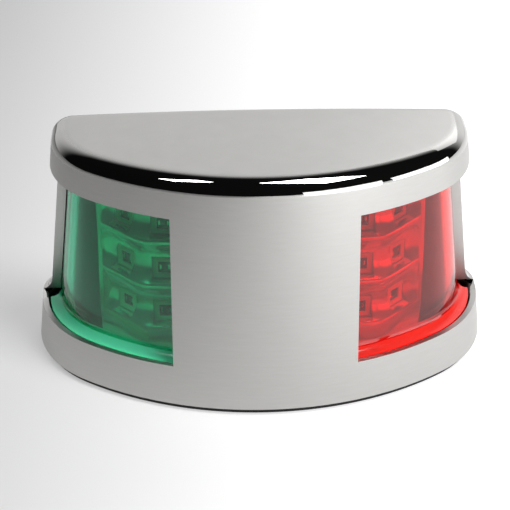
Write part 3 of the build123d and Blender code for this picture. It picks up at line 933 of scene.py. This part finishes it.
class BOWLIGHT_OT_stage(bpy.types.Operator):
    """Sets the floor, lights and camera"""

    bl_idname = "bowlight.stage"
    bl_label = "Stage"

    def execute(self, context):
        scene = context.scene
        floor_mesh = bpy.data.meshes.new("floor")
        corners = ((-1, -1), (1, -1), (1, 1), (-1, 1))
        floor_mesh.from_pydata(
            [(x * FLOOR_REACH, y * FLOOR_REACH, 0) for x, y in corners], [], [(0, 1, 2, 3)]
        )
        floor = mesh_object("floor", floor_mesh)
        pale, tree = material("Matt paper, white")
        # lit from below as a light table is, brighter to the right, so that it stays pale with
        # hardly a shadow and the steel darkens toward the left
        coords = node(tree, "ShaderNodeTexCoord").outputs["Object"]
        across = node(tree, "ShaderNodeSeparateXYZ", links={"Vector": coords}).outputs["X"]
        below = node(
            tree,
            "ShaderNodeMapRange",
            {"From Min": -0.13, "From Max": 0.1, "To Min": 0.14, "To Max": 0.95,
             ".interpolation_type": "SMOOTHSTEP"},
            {"Value": across},
        ).outputs["Result"]
        paper = node(
            tree,
            "ShaderNodeBsdfPrincipled",
            {
                "Base Color": linear("A8A8A8"),
                "Roughness": 0.8,
                "Specular IOR Level": 0.0,
                "Emission Color": (1, 1, 1, 1),
            },
            {"Emission Strength": below},
        )
        finish_material(tree, paper.outputs[0])
        floor.data.materials.append(pale)

        world = bpy.data.worlds.new("Studio")
        world.use_nodes = True
        tree = world.node_tree
        tree.nodes.clear()
        coords = node(tree, "ShaderNodeTexCoord").outputs["Generated"]
        way = node(tree, "ShaderNodeSeparateXYZ", links={"Vector": coords})
        # the room in front of and above the light is dark, the white sweep behind it is bright
        sweep = node(
            tree,
            "ShaderNodeMapRange",
            {"From Min": 0.3, "From Max": 0.8, "To Min": 0.008, "To Max": 1.12,
             ".interpolation_type": "SMOOTHSTEP"},
            {"Value": way.outputs["Y"]},
        ).outputs["Result"]
        # a little brighter to the right than to the left
        across = node(
            tree,
            "ShaderNodeMapRange",
            {"From Min": -0.8, "From Max": 0.8, "To Min": 0.62, "To Max": 1.15},
            {"Value": way.outputs["X"]},
        ).outputs["Result"]
        glow = node(tree, "ShaderNodeMath", {".operation": "MULTIPLY"}, {0: sweep, 1: across})
        background = node(
            tree, "ShaderNodeBackground", {"Color": (1, 1, 1, 1)}, {"Strength": glow.outputs[0]}
        )
        node(tree, "ShaderNodeOutputWorld", links={"Surface": background.outputs[0]})
        scene.world = world

        for name, place, size, radiance in LAMPS:
            lamp = bpy.data.lights.new(name, "AREA")
            lamp.shape = "RECTANGLE"
            lamp.size, lamp.size_y = size
            lamp.energy = radiance * pi * size[0] * size[1]
            holder = bpy.data.objects.new(name, lamp)
            scene.collection.objects.link(holder)
            holder.location = place
            aim = LAMP_AIM - Vector(place)
            holder.rotation_euler = aim.to_track_quat("-Z", "Y").to_euler()

        azimuth, height_angle = radians(CAMERA_AZIMUTH), radians(CAMERA_ELEVATION)
        roll = radians(CAMERA_ROLL)
        back = Vector(
            (
                sin(azimuth) * cos(height_angle),
                -cos(azimuth) * cos(height_angle),
                sin(height_angle),
            )
        )
        right = (-back).cross(Vector((0, 0, 1))).normalized()
        up = right.cross(-back)
        right, up = right * cos(roll) + up * sin(roll), up * cos(roll) - right * sin(roll)
        place = CAMERA_AIM + back * CAMERA_DISTANCE
        camera_data = bpy.data.cameras.new("camera")
        camera_data.sensor_width = 36
        camera_data.lens = CAMERA_LENS
        camera_data.shift_x, camera_data.shift_y = CAMERA_SHIFT
        camera_data.clip_start = 0.01
        camera = bpy.data.objects.new("camera", camera_data)
        scene.collection.objects.link(camera)
        camera.matrix_world = Matrix(
            (
                (right.x, up.x, back.x, place.x),
                (right.y, up.y, back.y, place.y),
                (right.z, up.z, back.z, place.z),
                (0, 0, 0, 1),
            )
        )
        scene.camera = camera
        scene.view_settings.view_transform = "Standard"
        scene.view_settings.look = "None"
        scene.view_settings.exposure = 0.0
        return {"FINISHED"}


class BOWLIGHT_PT_panel(bpy.types.Panel):
    """Lists the pieces of the bow light"""

    bl_label = "Bow Light"
    bl_idname = "BOWLIGHT_PT_panel"
    bl_space_type = "VIEW_3D"
    bl_region_type = "UI"
    bl_category = "Bow Light"

    def draw(self, context):
        column = self.layout.column()
        for prop in ("green", "red", "green_foot_painted_glow", "red_foot_painted_glow"):
            column.prop(context.scene.bowlight_colours, prop)
        column.prop(context.scene.bowlight_sizes, "edge_ease")
        for operator in ("stage", "cover", "lenses", "reflectors", "inside"):
            column.operator("bowlight." + operator)


CLASSES = (
    BOWLIGHT_PG_sizes,
    BOWLIGHT_PG_colours,
    BOWLIGHT_OT_cover,
    BOWLIGHT_OT_lenses,
    BOWLIGHT_OT_reflectors,
    BOWLIGHT_OT_inside,
    BOWLIGHT_OT_stage,
    BOWLIGHT_PT_panel,
)


def register():
    """Registers the classes and their settings."""
    for item in CLASSES:
        bpy.utils.register_class(item)
    bpy.types.Scene.bowlight_sizes = bpy.props.PointerProperty(type=BOWLIGHT_PG_sizes)
    bpy.types.Scene.bowlight_colours = bpy.props.PointerProperty(type=BOWLIGHT_PG_colours)


def unregister():
    """Removes the classes and their settings."""
    del bpy.types.Scene.bowlight_sizes
    del bpy.types.Scene.bowlight_colours
    for item in reversed(CLASSES):
        bpy.utils.unregister_class(item)


def main():
    """Builds the whole light."""
    register()
    for operator in (
        bpy.ops.bowlight.stage,
        bpy.ops.bowlight.cover,
        bpy.ops.bowlight.lenses,
        bpy.ops.bowlight.reflectors,
        bpy.ops.bowlight.inside,
    ):
        operator()


if __name__ == "__main__":
    main()
